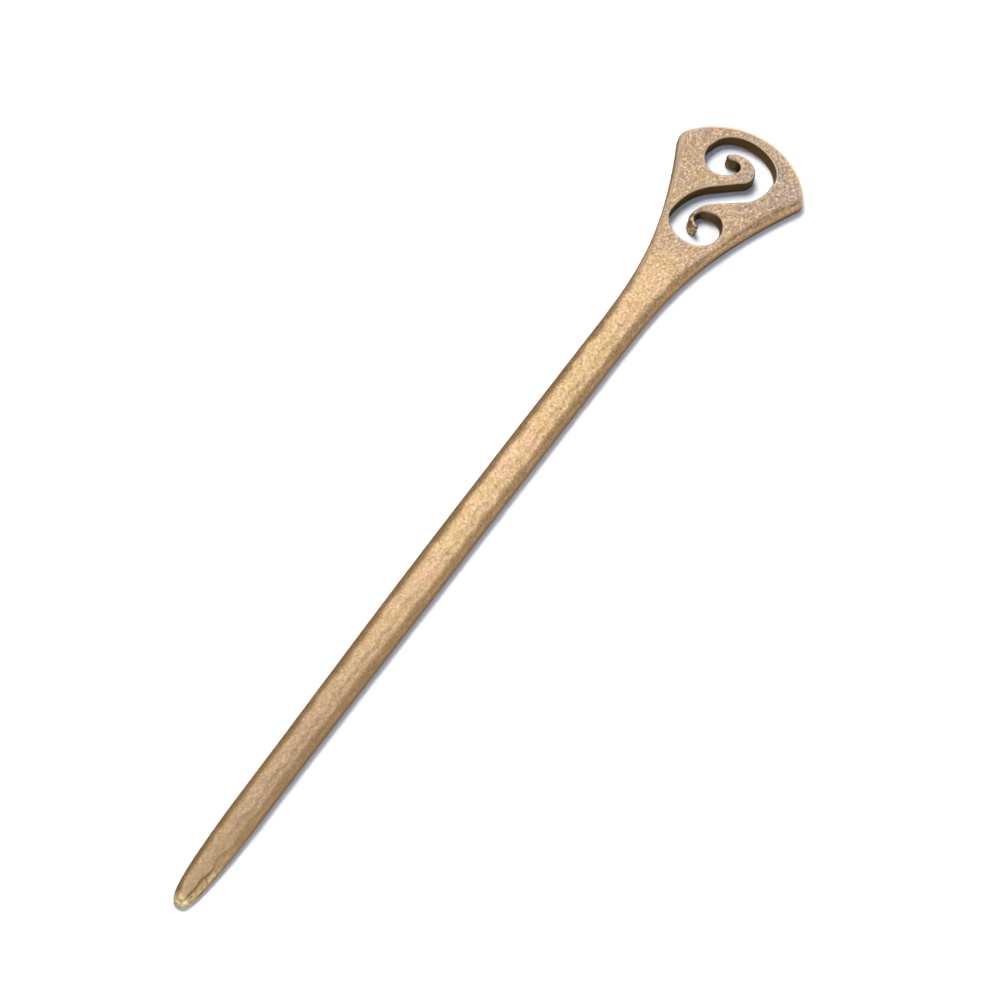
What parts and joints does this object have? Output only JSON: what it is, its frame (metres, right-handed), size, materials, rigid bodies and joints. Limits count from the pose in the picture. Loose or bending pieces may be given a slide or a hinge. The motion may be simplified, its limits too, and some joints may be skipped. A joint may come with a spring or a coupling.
{
  "type": "hair stick",
  "caption": "One-piece cast metal hair stick: a straight bar with a blunt nose that flares into a flat fan pierced by an S-shaped scroll.",
  "frame": {"origin": "on the flat back, in the stick's own mid-plane, below the middle of its length", "axes": "+X runs from the nose to the fan, +Z is square to the flat back and points out of the face, +Y runs across towards the fan's softer corner"},
  "size_m": [0.13, 0.0175, 0.0028],
  "materials": {
    "antique_bronze": "cast, antique bronze plated, tumbled satin with dark recesses"
  },
  "bodies": {
    "root": {"hair_stick": "antique_bronze"}
  },
  "joints": []
}
